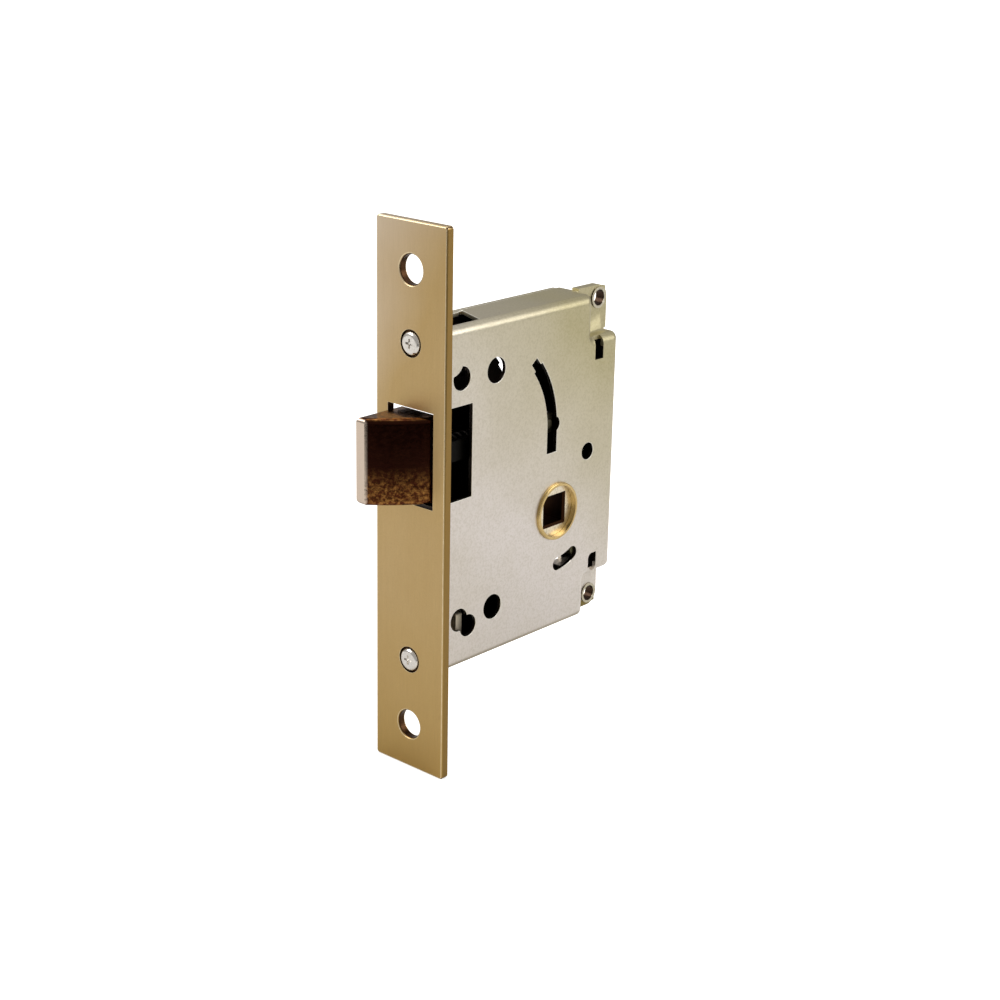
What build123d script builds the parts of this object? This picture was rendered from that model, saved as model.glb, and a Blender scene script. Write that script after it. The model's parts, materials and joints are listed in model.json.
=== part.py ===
from build123d import *
import os
from math import acos, atan2, cos, degrees, radians, sin, sqrt

# Mortise latch lock for a hinged door, in millimetres.
# Origin: middle of the forend's front face. +Y runs into the door, +Z is up,
# and +X points to the side of the lock whose plate carries the folded walls.

# ---- Forend (front plate) -------------------------------------------------
forend_height = 150.0
forend_width = 25.0
forend_thickness = 2.3
forend_corner_r = 1.0
forend_edge_break = 0.35
fixing_hole_inset = 12.5
fixing_hole_d = 7.8
fixing_hole_break = 0.4
case_screw_inset = 3.8
case_screw_seat_d = 7.3
case_screw_seat_depth = 1.1

# ---- Case -----------------------------------------------------------------
sheet = 1.2
case_thickness = 14.2
case_height = 94.6
case_depth = 76.3
backset = 51.0
hub_drop = 12.0
bend_outer_r = 2.6
outline_r = 1.5
notch_depth = 11.6
notch_height = 12.1
notch_inner_r = 1.0
ear_overhang = 0.7
ear_corner_r = 4.0
ear_hole_d = 5.2
ear_hole_inset = 3.7

# ---- Latch ----------------------------------------------------------------
latch_axis_z = 13.35
latch_width = 15.0
latch_height = 23.4
latch_projection = 12.0
latch_tail = 3.5
latch_nose_width = 3.0
latch_edge_r = 1.4
latch_bevel_shoulder = 1.1
latch_bevel_crown = 0.9
opening_side_gap = 0.7
opening_top_gap = 1.5
opening_bottom_gap = 1.0
window_end_gap = 1.1
window_rear_gap = 0.5

# ---- Fork (tail of the latch) ----------------------------------------------
fork_leg_thickness = 1.5
fork_leg_height = 5.6
fork_inner_gap = 6.4
fork_bridge_height = 17.0
fork_rear_margin = 2.0
head_rivet_d = 3.0
head_rivet_length = 7.0
head_rivet_offset = 6.0
rivet_head_d = 4.8
rivet_head_height = 1.0
cross_pin_d = 3.0
cross_pin_stub = 0.6
pin_chamfer = 0.3
running_clearance = 0.05
guide_clearance = 0.15
contact_clearance = 0.1

# ---- Hub -------------------------------------------------------------------
spindle_square = 8.0
hub_journal_d = 14.7
hub_neck_step = 0.2
hub_collar_step = 1.7
hub_arm_drop = 0.308
hub_face_recess = 0.9
hub_mouth_chamfer = 0.6
hub_shoulder_gap = 0.25
hub_arm_thickness = 4.0
hub_arm_tip_r = 2.2
hub_arm_neck_r = 1.3
hub_arm_neck_reach = 18.0
hub_arm_root_r = 6.0
stop_lobe_centre_r = 15.0
stop_lobe_tip_r = 2.0
stop_post_d = 3.8
stop_post_r = 17.2
stop_post_angle = -54.8
bush_wall = 0.85
bush_flange_step = 1.0
bush_flange_thickness = 0.8
bush_proud = 0.8
bush_edge_r = 0.35

# ---- Springs ---------------------------------------------------------------
latch_spring_d = 6.0
latch_spring_wire = 0.7
latch_spring_turns = 11
spring_end_gap = 0.05
hub_spring_wire = 0.8
hub_spring_turns = 2.1
hub_spring_pitch = 0.86
hub_spring_clearance = 0.4
hub_spring_hook_r = 13.0
hub_spring_hook_depth = 1.2
hub_spring_leg = 12.0
hub_spring_leg_rest = 9.0
anchor_post_d = 3.0

# ---- Openings pressed in both side plates -----------------------------------
fixing_tube_hole_d = 7.0
fixing_tube_y = 25.0
fixing_tube_spacing = 66.6
pilot_hole_d = 4.9
pilot_hole_behind_hub = 12.7
pilot_hole_above_hub = 14.7
side_hole_d = 6.4
side_hole_y = 11.8
side_hole_inset = 13.8
side_hole_cover_r = 4.6
side_hole_cover_bite = 1.2
side_hole_cover_angle = 125.0
twin_hole_y = 15.3
twin_hole_inset = 11.3
twin_hole_d = 6.2
curved_slot_width = 4.0
curved_slot_r = 29.0
curved_slot_sweep = 39.0
curved_slot_straight = 7.0
curved_slot_notch_d = 4.4
curved_slot_notch_offset = 0.9
curved_slot_notch_rise = 1.0
curved_slot_end_width = 2.6
curved_slot_ahead_of_hub = 2.8
curved_slot_knee_drop = 0.8
arc_slot_r = 16.1
arc_slot_width = 3.8
arc_slot_from = -86.0
arc_slot_to = -62.6
corner_slot_width = 3.5
corner_slot_height = 6.5
corner_slot_offset = 1.0
corner_slot_r = 1.6
top_mouth_rear = 24.6
top_mouth_slope = 3.8
top_mouth_far_gap = 1.4
top_mouth_step = 0.7
top_mouth_step_y = 22.4
bottom_mouth_rear = 23.7

# ---- Brackets, posts and fasteners -------------------------------------------
bracket_thickness = 2.3
bracket_half_width = 4.0
bracket_tab_y = 13.8
bracket_tab_height = 8.6
bracket_tab_corner_r = 1.5
bracket_step_gap = 0.4
bracket_bend_gap = 0.2
case_screw_d = 4.0
case_screw_head_d = 6.3
case_screw_head_height = 1.6
case_screw_length = 8.0
head_dome_r = 1.1
recess_span = 2.6
recess_width = 0.6
recess_depth = 0.5
thread_clearance = 0.05
screw_clearance = 0.25
guide_plate_y = 30.0
guide_thickness = 1.5
guide_flange = 7.0
guide_half_height = 9.0
spigot_d = 4.2
spigot_height = 2.5
case_post_d = 6.0
post_inset = 7.3
post_corner_inset = 9.3
post_corner_lead = 7.7
post_behind_tube = 9.0
post_ahead_of_hub = 5.0
front_post_y = 14.0
front_post_z = -14.0
case_post_bore_depth = 7.0
cover_screw_d = 3.0
cover_screw_head_d = 5.4
cover_screw_head_height = 0.9
cover_screw_length = 6.0
cover_screw_dome_r = 0.5
cover_recess_span = 2.6
cover_recess_width = 0.6
cover_recess_depth = 0.6
eyelet_wall = 0.3
eyelet_flange_step = 0.4
eyelet_flange_thickness = 0.35

# ---- Derived places ----------------------------------------------------------
half_thickness = case_thickness / 2
bend_inner_r = bend_outer_r - sheet
half_height = case_height / 2
fixing_hole_z = forend_height / 2 - fixing_hole_inset
case_screw_z = half_height - case_screw_inset
inner_half = half_thickness - sheet
case_front = forend_thickness
hub_y = backset
hub_z = -hub_drop
notch_y = case_depth - notch_depth
notch_z = half_height - notch_height
latch_half_width = latch_width / 2
latch_rear = latch_tail
latch_throw = latch_projection
window_rear = latch_rear + latch_throw + window_rear_gap
arm_height = latch_axis_z - hub_z - hub_arm_drop
half_swing = atan2(latch_throw / 2, arm_height)
hub_swing = 2 * degrees(half_swing)
arm_contact_r = latch_throw / (2 * sin(half_swing))
arm_tip_y = hub_y - latch_throw / 2
cross_pin_y = arm_tip_y + hub_arm_tip_r + cross_pin_d / 2 + contact_clearance
fork_rear = cross_pin_y + fork_rear_margin
fork_inner_x = fork_inner_gap / 2
fork_outer_x = fork_inner_x + fork_leg_thickness
bridge_rear = latch_rear + fork_leg_thickness
hub_neck_d = hub_journal_d + 2 * hub_neck_step
hub_collar_d = hub_journal_d + 2 * hub_collar_step
bush_bore_d = hub_journal_d + 2 * running_clearance
bush_outer_d = bush_bore_d + 2 * bush_wall
bush_flange_d = bush_outer_d + 2 * bush_flange_step
bush_inner_x = inner_half - bush_flange_thickness
hub_shoulder_x = bush_inner_x - hub_shoulder_gap
hub_face_x = half_thickness - hub_face_recess
hub_arm_half = hub_arm_thickness / 2
stop_post_y = hub_y + stop_post_r * cos(radians(stop_post_angle))
stop_post_z = hub_z + stop_post_r * sin(radians(stop_post_angle))
ear_hole_y = case_depth + ear_overhang - ear_hole_inset
ear_hole_z = half_height + ear_overhang - ear_hole_inset
pilot_hole_y = hub_y + pilot_hole_behind_hub
pilot_hole_z = hub_z + pilot_hole_above_hub
side_hole_z = half_height - side_hole_inset
twin_hole_z = twin_hole_inset - half_height
curved_slot_y = hub_y - curved_slot_ahead_of_hub
curved_slot_knee_z = latch_axis_z - curved_slot_knee_drop
corner_slot_front = notch_y + corner_slot_offset
bracket_step_z = case_screw_z - case_screw_d / 2 - bracket_step_gap
bracket_tab_end = bracket_step_z - bracket_tab_height
post_places = [
    (fixing_tube_y + post_behind_tube, half_height - post_inset),
    (notch_y - post_corner_lead, half_height - post_corner_inset),
    (hub_y - post_ahead_of_hub, post_inset - half_height),
    (front_post_y, front_post_z),
]
arm_angle = 90 + hub_swing / 2
lobe_contact = stop_lobe_tip_r + stop_post_d / 2 + contact_clearance
lobe_lag = acos(
    (stop_lobe_centre_r**2 + stop_post_r**2 - lobe_contact**2)
    / (2 * stop_lobe_centre_r * stop_post_r)
)
hub_spring_r = hub_neck_d / 2 + hub_spring_clearance + hub_spring_wire / 2
hook_tangent = acos(hub_spring_r / hub_spring_hook_r)


# ---- Helpers -----------------------------------------------------------------
def side_slab(sketch, x_low, x_high):
    """Extrude a sketch drawn in (Y, Z) between two X planes."""
    return extrude(Plane.YZ.offset(x_low) * sketch, amount=x_high - x_low)


def front_slab(sketch, y_low, y_high):
    """Extrude a sketch drawn in (X, Z) between two Y planes."""
    return extrude(Plane.XZ.offset(-y_low) * sketch, amount=y_low - y_high)


def span(low_a, high_a, low_b, high_b):
    """Rectangle sketch between two limits on each local axis."""
    middle = Pos((low_a + high_a) / 2, (low_b + high_b) / 2)
    return middle * Rectangle(high_a - low_a, high_b - low_b)


def disc(a, b, diameter):
    """Circle sketch at a place on the sketch plane."""
    return Pos(a, b) * Circle(diameter / 2)


def block(x_low, x_high, y_low, y_high, z_low, z_high):
    """Box between limits on all three axes."""
    return side_slab(span(y_low, y_high, z_low, z_high), x_low, x_high)


def side_pin(y, z, diameter, x_low, x_high):
    """Cylinder along X."""
    return side_slab(disc(y, z, diameter), x_low, x_high)


def front_pin(x, z, diameter, y_low, y_high):
    """Cylinder along Y."""
    return front_slab(disc(x, z, diameter), y_low, y_high)


def edges_on_plane(solid, axis, value):
    """Edges that lie wholly on the plane where axis has this value."""
    return solid.edges().filter_by_position(axis, value - 0.001, value + 0.001)


def save(node, solids):
    """Write one node as a STEP file holding separate solids."""
    shape = Compound(children=[item for part in solids for item in part.solids()])
    shape.label = node
    export_step(shape, f"parts/{node}.step")


# ---- Forend --------------------------------------------------------------------
def make_forend():
    plate = front_slab(
        RectangleRounded(forend_width, forend_height, forend_corner_r), 0, forend_thickness
    )
    plate = chamfer(edges_on_plane(plate, Axis.Y, 0), forend_edge_break)
    opening = span(
        -latch_half_width - opening_side_gap,
        latch_half_width + opening_side_gap,
        latch_axis_z - latch_height / 2 - opening_bottom_gap,
        latch_axis_z + latch_height / 2 + opening_top_gap,
    )
    plate -= front_slab(opening, -1, forend_thickness + 1)
    for side in (-1, 1):
        z = side * fixing_hole_z
        plate -= front_pin(0, z, fixing_hole_d, -1, forend_thickness + 1)
        mouth = Plane.XZ.offset(-fixing_hole_break) * Pos(0, z) * Circle(fixing_hole_d / 2)
        plate -= extrude(mouth, amount=2 * fixing_hole_break, taper=-45)
        z = side * case_screw_z
        plate -= front_pin(0, z, case_screw_seat_d, -1, case_screw_seat_depth)
        plate -= front_pin(0, z, case_screw_d + 2 * screw_clearance, -1, forend_thickness + 1)
    return plate


# ---- Case ------------------------------------------------------------------------
def case_outline(shrink=0.0, front=case_front):
    """Side outline with both rear corners notched, moved inwards by shrink."""
    top = half_height - shrink
    rear = case_depth - shrink
    step_y = notch_y - shrink
    step_z = notch_z - shrink
    shape = span(front, rear, -top, top)
    for side in (-1, 1):
        low, high = sorted((side * step_z, side * (top + 1)))
        shape -= span(step_y, rear + 1, low, high)
    corners = shape.vertices().filter_by_position(Axis.X, front + 1, rear + 1)
    inner = [v for v in corners if abs(v.X - step_y) < 0.01 and abs(abs(v.Y) - step_z) < 0.01]
    outer = [v for v in corners if v not in inner]
    shape = fillet(outer, max(outline_r - shrink, 0.2))
    inner = [
        v
        for v in shape.vertices()
        if abs(v.X - step_y) < 0.01 and abs(abs(v.Y) - step_z) < 0.01
    ]
    return fillet(inner, notch_inner_r + shrink)


def curved_slot():
    """Slot that follows an arc and then runs straight down to a square end."""
    half = curved_slot_width / 2
    centre_y = curved_slot_y - curved_slot_r
    ring = disc(centre_y, curved_slot_knee_z, 2 * (curved_slot_r + half))
    ring -= disc(centre_y, curved_slot_knee_z, 2 * (curved_slot_r - half))
    reach = 2 * curved_slot_r
    fan = make_face(
        Polyline(
            (centre_y, curved_slot_knee_z),
            (centre_y + reach, curved_slot_knee_z),
            (centre_y + reach, curved_slot_knee_z + reach * sin(radians(curved_slot_sweep))),
            (
                centre_y + reach * cos(radians(curved_slot_sweep)),
                curved_slot_knee_z + reach * sin(radians(curved_slot_sweep)),
            ),
            (centre_y, curved_slot_knee_z),
        )
    )
    end = radians(curved_slot_sweep)
    tip = Pos(
        centre_y + curved_slot_r * cos(end), curved_slot_knee_z + curved_slot_r * sin(end)
    ) * Rot(0, 0, curved_slot_sweep) * Rectangle(curved_slot_end_width, 2 * curved_slot_end_width)
    notch = disc(
        curved_slot_y + curved_slot_notch_offset,
        curved_slot_knee_z + curved_slot_notch_rise,
        curved_slot_notch_d,
    )
    straight = span(
        curved_slot_y - half,
        curved_slot_y + half,
        curved_slot_knee_z - curved_slot_straight,
        curved_slot_knee_z,
    )
    return (ring & fan) + tip + notch + straight


def arc_slot():
    """Slot concentric with the hub, below it."""
    middle = radians((arc_slot_from + arc_slot_to) / 2)
    ends = [radians(arc_slot_from), radians(arc_slot_to)]
    points = [
        (hub_y + arc_slot_r * cos(angle), hub_z + arc_slot_r * sin(angle))
        for angle in (ends[0], middle, ends[1])
    ]
    return SlotArc(ThreePointArc(*points), arc_slot_width)


def plate_openings():
    """Everything pressed through both side plates, in (Y, Z)."""
    cuts = span(
        case_front - 5,
        window_rear,
        latch_axis_z - latch_height / 2 - window_end_gap,
        latch_axis_z + latch_height / 2 + window_end_gap,
    )
    for side in (-1, 1):
        cuts += disc(fixing_tube_y, side * fixing_tube_spacing / 2, fixing_tube_hole_d)
        low, high = sorted((side * (notch_z - corner_slot_height), side * notch_z))
        corner = span(corner_slot_front, corner_slot_front + corner_slot_width, low, high)
        cuts += fillet(corner.vertices().group_by(Axis.X)[0].sort_by(Axis.Y)[-1], corner_slot_r)
    cover_reach = side_hole_d / 2 + side_hole_cover_r - side_hole_cover_bite
    cuts += disc(side_hole_y, side_hole_z, side_hole_d) - disc(
        side_hole_y + cover_reach * cos(radians(side_hole_cover_angle)),
        side_hole_z + cover_reach * sin(radians(side_hole_cover_angle)),
        2 * side_hole_cover_r,
    )
    cuts += disc(side_hole_y, -side_hole_z, side_hole_d)
    cuts += disc(twin_hole_y, twin_hole_z, twin_hole_d)
    cuts += curved_slot()
    cuts += arc_slot()
    cuts += disc(hub_y, hub_z, bush_outer_d)
    return cuts


def ear_outline(side, wall_z, wall_y):
    """Ear that fills one notched corner: wall_z and wall_y keep it off the folded walls."""
    ear_y = case_depth + ear_overhang
    ear_z = half_height + ear_overhang
    low, high = sorted((side * (notch_z - sheet), side * wall_z))
    shape = span(notch_y - sheet, wall_y, low, high)
    low, high = sorted((side * notch_z, side * ear_z))
    lug = span(notch_y, ear_y, low, high)
    corner = lug.vertices().sort_by_distance((ear_y, side * ear_z))[0]
    lug = fillet(corner, ear_corner_r)
    return shape + lug - disc(ear_hole_y, side * ear_hole_z, ear_hole_d)


def corner_walls(x_low, x_high, wall_z, wall_y):
    """Pressed-in corner: the walls that run from a side plate to the ears."""
    solid = []
    for side in (-1, 1):
        low, high = sorted((side * (notch_z - sheet), side * wall_z))
        solid.append(block(x_low, x_high, notch_y - sheet, notch_y, low, high))
        low, high = sorted((side * (notch_z - sheet), side * notch_z))
        solid.append(block(x_low, x_high, notch_y - sheet, wall_y, low, high))
    return solid


def make_case_body():
    """Near side plate with top, bottom and rear walls, and the near half of each ear."""
    shell = side_slab(case_outline(), 0, half_thickness)
    near_edges = edges_on_plane(shell, Axis.X, half_thickness)
    front_edge = near_edges.sort_by(Axis.Y)[0]
    shell = fillet([e for e in near_edges if e != front_edge], bend_outer_r)
    cavity = side_slab(case_outline(sheet, case_front - 1), -1, inner_half)
    inner_edges = edges_on_plane(cavity, Axis.X, inner_half).sort_by(Axis.Y)[1:]
    shell -= fillet(inner_edges, bend_inner_r)
    inner_top = half_height - sheet
    for side in (-1, 1):
        low, high = sorted((side * inner_top, side * half_height))
        shell += block(-inner_half, 0, case_front, notch_y, low, high)
    shell += block(-inner_half, 0, case_depth - sheet, case_depth, -notch_z, notch_z)
    for side in (-1, 1):
        shell += side_slab(ear_outline(side, half_height, case_depth), 0, sheet)
    shell -= side_slab(plate_openings(), inner_half - 0.5, half_thickness + 1)
    pilot = disc(pilot_hole_y, pilot_hole_z, pilot_hole_d)
    shell -= side_slab(pilot, inner_half - 0.5, half_thickness + 1)
    far_x = top_mouth_far_gap - inner_half
    near_x = half_thickness - bend_outer_r
    mouth = make_face(
        Polyline(
            (far_x, case_front - 1),
            (far_x, top_mouth_step_y),
            (far_x - top_mouth_step, top_mouth_step_y + top_mouth_step),
            (far_x - top_mouth_step, top_mouth_rear),
            (near_x, top_mouth_rear - top_mouth_slope),
            (near_x, case_front - 1),
            (far_x, case_front - 1),
        )
    )
    shell -= extrude(Plane.XY.offset(inner_top - 0.5) * mouth, amount=sheet + 1)
    mouth = span(-half_thickness, inner_half, case_front - 1, bottom_mouth_rear)
    shell -= extrude(Plane.XY.offset(-half_height - 0.5) * mouth, amount=sheet + 1)
    return shell


def make_case_cover():
    """Far side plate, with the far half of each ear."""
    cover = side_slab(case_outline(), -half_thickness, -inner_half)
    cover -= side_slab(plate_openings(), -half_thickness - 1, -inner_half + 1)
    for wall in corner_walls(-inner_half, 0, half_height - sheet, case_depth - sheet):
        cover += wall
    for side in (-1, 1):
        cover += side_slab(
            ear_outline(side, half_height - sheet, case_depth - sheet), -sheet, 0
        )
    for y, z in post_places:
        cover -= side_pin(y, z, cover_screw_d + 2 * screw_clearance, -half_thickness - 1, 0)
    return cover


# ---- Brackets, posts and fasteners ----------------------------------------------
def make_bracket(side):
    """Threaded bracket behind the forend, stepped clear of the screw and turned inwards."""
    low, high = sorted(
        (side * (bracket_step_z - bracket_thickness), side * (half_height - sheet))
    )
    web = block(
        -inner_half, inner_half, case_front, case_front + bracket_thickness, low, high
    )
    bend_edge = web.edges().filter_by(Axis.Y).sort_by_distance((inner_half, 0, side * half_height))
    web = fillet(bend_edge[0], bend_inner_r + bracket_bend_gap)
    low, high = sorted(
        (side * (bracket_step_z - bracket_thickness), side * bracket_step_z)
    )
    tab_rear = bracket_tab_y + bracket_thickness
    web += block(-bracket_half_width, bracket_half_width, case_front, tab_rear, low, high)
    low, high = sorted((side * bracket_tab_end, side * bracket_step_z))
    tab = span(-bracket_half_width, bracket_half_width, low, high)
    ends = [v for v in tab.vertices() if abs(abs(v.Y) - bracket_tab_end) < 0.01]
    web += front_slab(fillet(ends, bracket_tab_corner_r), bracket_tab_y, tab_rear)
    bore = case_screw_d + 2 * thread_clearance
    return web - front_pin(0, side * case_screw_z, bore, 0, bracket_tab_y)


def pan_screw(shank_d, length, head_d, head_height, dome_r, recess):
    """Pan head screw along +Z with its seat at the origin and the head below it."""
    head = extrude(Circle(head_d / 2), amount=-head_height)
    head = fillet(edges_on_plane(head, Axis.Z, -head_height), dome_r)
    across, width, depth = recess
    cross = Rectangle(across, width) + Rectangle(width, across)
    head -= extrude(Pos(0, 0, -head_height) * cross, amount=depth)
    shank = extrude(Circle(shank_d / 2), amount=length)
    return head + chamfer(edges_on_plane(shank, Axis.Z, length), pin_chamfer)


def make_case_screws():
    """Two screws that hold the forend to the brackets."""
    screw = pan_screw(
        case_screw_d,
        case_screw_length,
        case_screw_head_d,
        case_screw_head_height,
        head_dome_r,
        (recess_span, recess_width, recess_depth),
    )
    seats = [
        Plane(
            origin=(0, case_screw_seat_depth, side * case_screw_z),
            x_dir=(1, 0, 0),
            z_dir=(0, 1, 0),
        )
        for side in (-1, 1)
    ]
    return [seat * screw for seat in seats]


def make_cover_screws():
    """Screws that hold the far plate to the posts."""
    screw = pan_screw(
        cover_screw_d,
        cover_screw_length,
        cover_screw_head_d,
        cover_screw_head_height,
        cover_screw_dome_r,
        (cover_recess_span, cover_recess_width, cover_recess_depth),
    )
    return [
        Plane(origin=(-half_thickness, y, z), x_dir=(0, 1, 0), z_dir=(1, 0, 0)) * screw
        for y, z in post_places
    ]


def make_case_posts():
    """Tapped posts that stand on the near plate."""
    bore = cover_screw_d + 2 * thread_clearance
    return [
        side_pin(y, z, case_post_d, -inner_half, inner_half)
        - side_pin(y, z, bore, -inner_half, -inner_half + case_post_bore_depth)
        for y, z in post_places
    ]


def make_ear_eyelets():
    """Tubular rivets that clinch the ears of both plates together."""
    bore = ear_hole_d - 2 * eyelet_wall
    flange_d = ear_hole_d + 2 * eyelet_flange_step
    eyelets = []
    for side in (-1, 1):
        z = side * ear_hole_z
        tube = side_pin(ear_hole_y, z, ear_hole_d, -sheet, sheet)
        for low in (-sheet - eyelet_flange_thickness, sheet):
            tube += side_pin(ear_hole_y, z, flange_d, low, low + eyelet_flange_thickness)
        outer = sheet + eyelet_flange_thickness
        eyelets.append(tube - side_pin(ear_hole_y, z, bore, -outer, outer))
    return eyelets


def make_latch_guide():
    """Channel between the plates: the fork slides through it and the spring rests on it."""
    rear = guide_plate_y + guide_thickness
    low_z = latch_axis_z - guide_half_height
    high_z = latch_axis_z + guide_half_height
    guide = block(-inner_half, inner_half, guide_plate_y, rear, low_z, high_z)
    for low in (low_z, high_z - guide_thickness):
        flange = span(guide_plate_y, guide_plate_y + guide_flange, low, low + guide_thickness)
        guide += side_slab(flange, -inner_half, inner_half)
    half_slot = fork_leg_height / 2 + guide_clearance
    for side in (-1, 1):
        low, high = sorted(
            (side * (fork_inner_x - guide_clearance), side * (fork_outer_x + guide_clearance))
        )
        slot = span(
            guide_plate_y - 1, rear + 1, latch_axis_z - half_slot, latch_axis_z + half_slot
        )
        guide -= side_slab(slot, low, high)
    spigot_y = guide_plate_y - spigot_height
    return guide + front_pin(0, latch_axis_z, spigot_d, spigot_y, guide_plate_y)


def make_stop_post():
    """Post that the hub's lobe rests on when the latch is out."""
    return side_pin(stop_post_y, stop_post_z, stop_post_d, -inner_half, inner_half)


# ---- Latch ---------------------------------------------------------------------------
def make_latch_head():
    """Bevelled latch head with a flat nose, crowned bevel and rounded ends."""
    nose_y = -latch_projection
    nose_x = latch_nose_width - latch_half_width
    shoulder_y = latch_rear - latch_bevel_shoulder
    run = Vector(latch_half_width - nose_x, shoulder_y - nose_y)
    normal = Vector(run.Y, -run.X).normalized()
    crown = Vector(nose_x, nose_y) + run * 0.5 + normal * latch_bevel_crown
    plan = make_face(
        [
            Polyline(
                (latch_half_width, shoulder_y),
                (latch_half_width, latch_rear),
                (-latch_half_width, latch_rear),
                (-latch_half_width, nose_y),
                (nose_x, nose_y),
            ),
            ThreePointArc((nose_x, nose_y), (crown.X, crown.Y), (latch_half_width, shoulder_y)),
        ]
    )
    low_z = latch_axis_z - latch_height / 2
    head = extrude(Plane.XY.offset(low_z) * plan, amount=latch_height)
    rims = [
        edge
        for z in (low_z, low_z + latch_height)
        for edge in edges_on_plane(head, Axis.Z, z)
        if edge.center().Y < latch_rear - 0.01
    ]
    head = fillet(rims, latch_edge_r)
    for side in (-1, 1):
        z = latch_axis_z + side * head_rivet_offset
        head -= front_pin(0, z, head_rivet_d, latch_rear - head_rivet_length, latch_rear)
    return head


def make_latch_fork():
    """U-shaped strap: its bridge is riveted behind the head, its legs pass the hub arm."""
    bridge_half = fork_bridge_height / 2
    bridge = span(
        latch_rear, bridge_rear, latch_axis_z - bridge_half, latch_axis_z + bridge_half
    )
    fork = side_slab(bridge, -fork_outer_x, fork_outer_x)
    half_leg = fork_leg_height / 2
    for side in (-1, 1):
        low, high = sorted((side * fork_inner_x, side * fork_outer_x))
        fork += block(
            low, high, latch_rear, fork_rear, latch_axis_z - half_leg, latch_axis_z + half_leg
        )
        z = latch_axis_z + side * head_rivet_offset
        fork -= front_pin(0, z, head_rivet_d, latch_rear, bridge_rear)
    fork += front_pin(0, latch_axis_z, spigot_d, bridge_rear, bridge_rear + spigot_height)
    return fork - side_pin(cross_pin_y, latch_axis_z, cross_pin_d, -fork_outer_x, fork_outer_x)


def make_head_rivets():
    """Two rivets that hold the fork to the head."""
    rivets = []
    for side in (-1, 1):
        z = latch_axis_z + side * head_rivet_offset
        rivet = front_pin(0, z, rivet_head_d, bridge_rear, bridge_rear + rivet_head_height)
        rivet = fillet(
            edges_on_plane(rivet, Axis.Y, bridge_rear + rivet_head_height), rivet_head_height * 0.8
        )
        rivets.append(
            rivet + front_pin(0, z, head_rivet_d, latch_rear - head_rivet_length, bridge_rear)
        )
    return rivets


def make_cross_pin():
    """Pin across the fork legs that the hub arm pushes on."""
    end = fork_outer_x + cross_pin_stub
    pin = side_pin(cross_pin_y, latch_axis_z, cross_pin_d, -end, end)
    return chamfer(pin.edges().filter_by(GeomType.CIRCLE), pin_chamfer)


def round_wire(path, diameter):
    """Wire of a round section that follows a path."""
    section = Plane(origin=path @ 0, z_dir=path % 0) * Circle(diameter / 2)
    return sweep(section, path=path, transition=Transition.ROUND)


def make_latch_spring():
    """Compression spring between the fork's bridge and the guide."""
    start = bridge_rear + latch_spring_wire / 2 + spring_end_gap
    length = guide_plate_y - latch_spring_wire / 2 - spring_end_gap - start
    base = Plane(origin=(0, start, latch_axis_z), x_dir=(1, 0, 0), z_dir=(0, 1, 0))
    radius = (latch_spring_d - latch_spring_wire) / 2
    path = base * Helix(length / latch_spring_turns, length, radius)
    return round_wire(Wire([path.edge()]), latch_spring_wire)


# ---- Hub -----------------------------------------------------------------------------
def hub_point(radius, angle):
    """Point in (Y, Z) at a radius and an angle in degrees about the hub's axis."""
    return hub_y + radius * cos(radians(angle)), hub_z + radius * sin(radians(angle))


def lever(tip_centre, tip_r):
    """Tapered lever from the hub's axis to a round tip, in (Y, Z)."""
    root = disc(hub_y, hub_z, 2 * hub_arm_root_r)
    return make_hull((root + disc(*tip_centre, 2 * tip_r)).edges())


def make_hub():
    """Spindle hub: journals, collar and neck, the arm that draws the latch, the stop lobe."""
    tip = hub_point(arm_contact_r, arm_angle)
    lobe_angle = radians(stop_post_angle) - lobe_lag
    lobe = (
        hub_y + stop_lobe_centre_r * cos(lobe_angle),
        hub_z + stop_lobe_centre_r * sin(lobe_angle),
    )
    neck = disc(*hub_point(hub_arm_neck_reach, arm_angle), 2 * hub_arm_neck_r)
    arm = lever(hub_point(hub_arm_neck_reach, arm_angle), hub_arm_neck_r)
    arm += make_hull((neck + disc(*tip, 2 * hub_arm_neck_r)).edges())
    arm += disc(*tip, 2 * hub_arm_tip_r)
    hub = side_slab(arm, -hub_arm_half, hub_arm_half)
    hub += side_slab(lever(lobe, stop_lobe_tip_r), -hub_arm_half, hub_arm_half)
    hub += side_pin(hub_y, hub_z, hub_collar_d, -hub_arm_half, hub_shoulder_x)
    hub += side_pin(hub_y, hub_z, hub_neck_d, -hub_shoulder_x, -hub_arm_half)
    hub += side_pin(hub_y, hub_z, hub_journal_d, -hub_face_x, hub_face_x)
    square = Pos(hub_y, hub_z) * Rectangle(spindle_square, spindle_square)
    hub -= side_slab(square, -hub_face_x - 1, hub_face_x + 1)
    mouths = [
        edge
        for x in (-hub_face_x, hub_face_x)
        for edge in edges_on_plane(hub, Axis.X, x).filter_by(GeomType.LINE)
    ]
    hub = chamfer(mouths, hub_mouth_chamfer)
    hook_y, hook_z = hub_point(hub_spring_hook_r, arm_angle)
    hook_bore = hub_spring_wire + 2 * contact_clearance
    hook_end = hub_spring_hook_depth + contact_clearance - hub_arm_half
    return hub - side_pin(hook_y, hook_z, hook_bore, -hub_arm_half - 1, hook_end)


def make_hub_bush(side):
    """Flanged brass bush that carries the hub in one side plate."""
    low, high = sorted((side * bush_inner_x, side * inner_half))
    bush = side_pin(hub_y, hub_z, bush_flange_d, low, high)
    outer_x = side * (half_thickness + bush_proud)
    low, high = sorted((side * bush_inner_x, outer_x))
    sleeve = side_pin(hub_y, hub_z, bush_outer_d, low, high)
    bush += fillet(edges_on_plane(sleeve, Axis.X, outer_x), bush_edge_r)
    return bush - side_pin(hub_y, hub_z, bush_bore_d, low - 1, high + 1)


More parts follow.
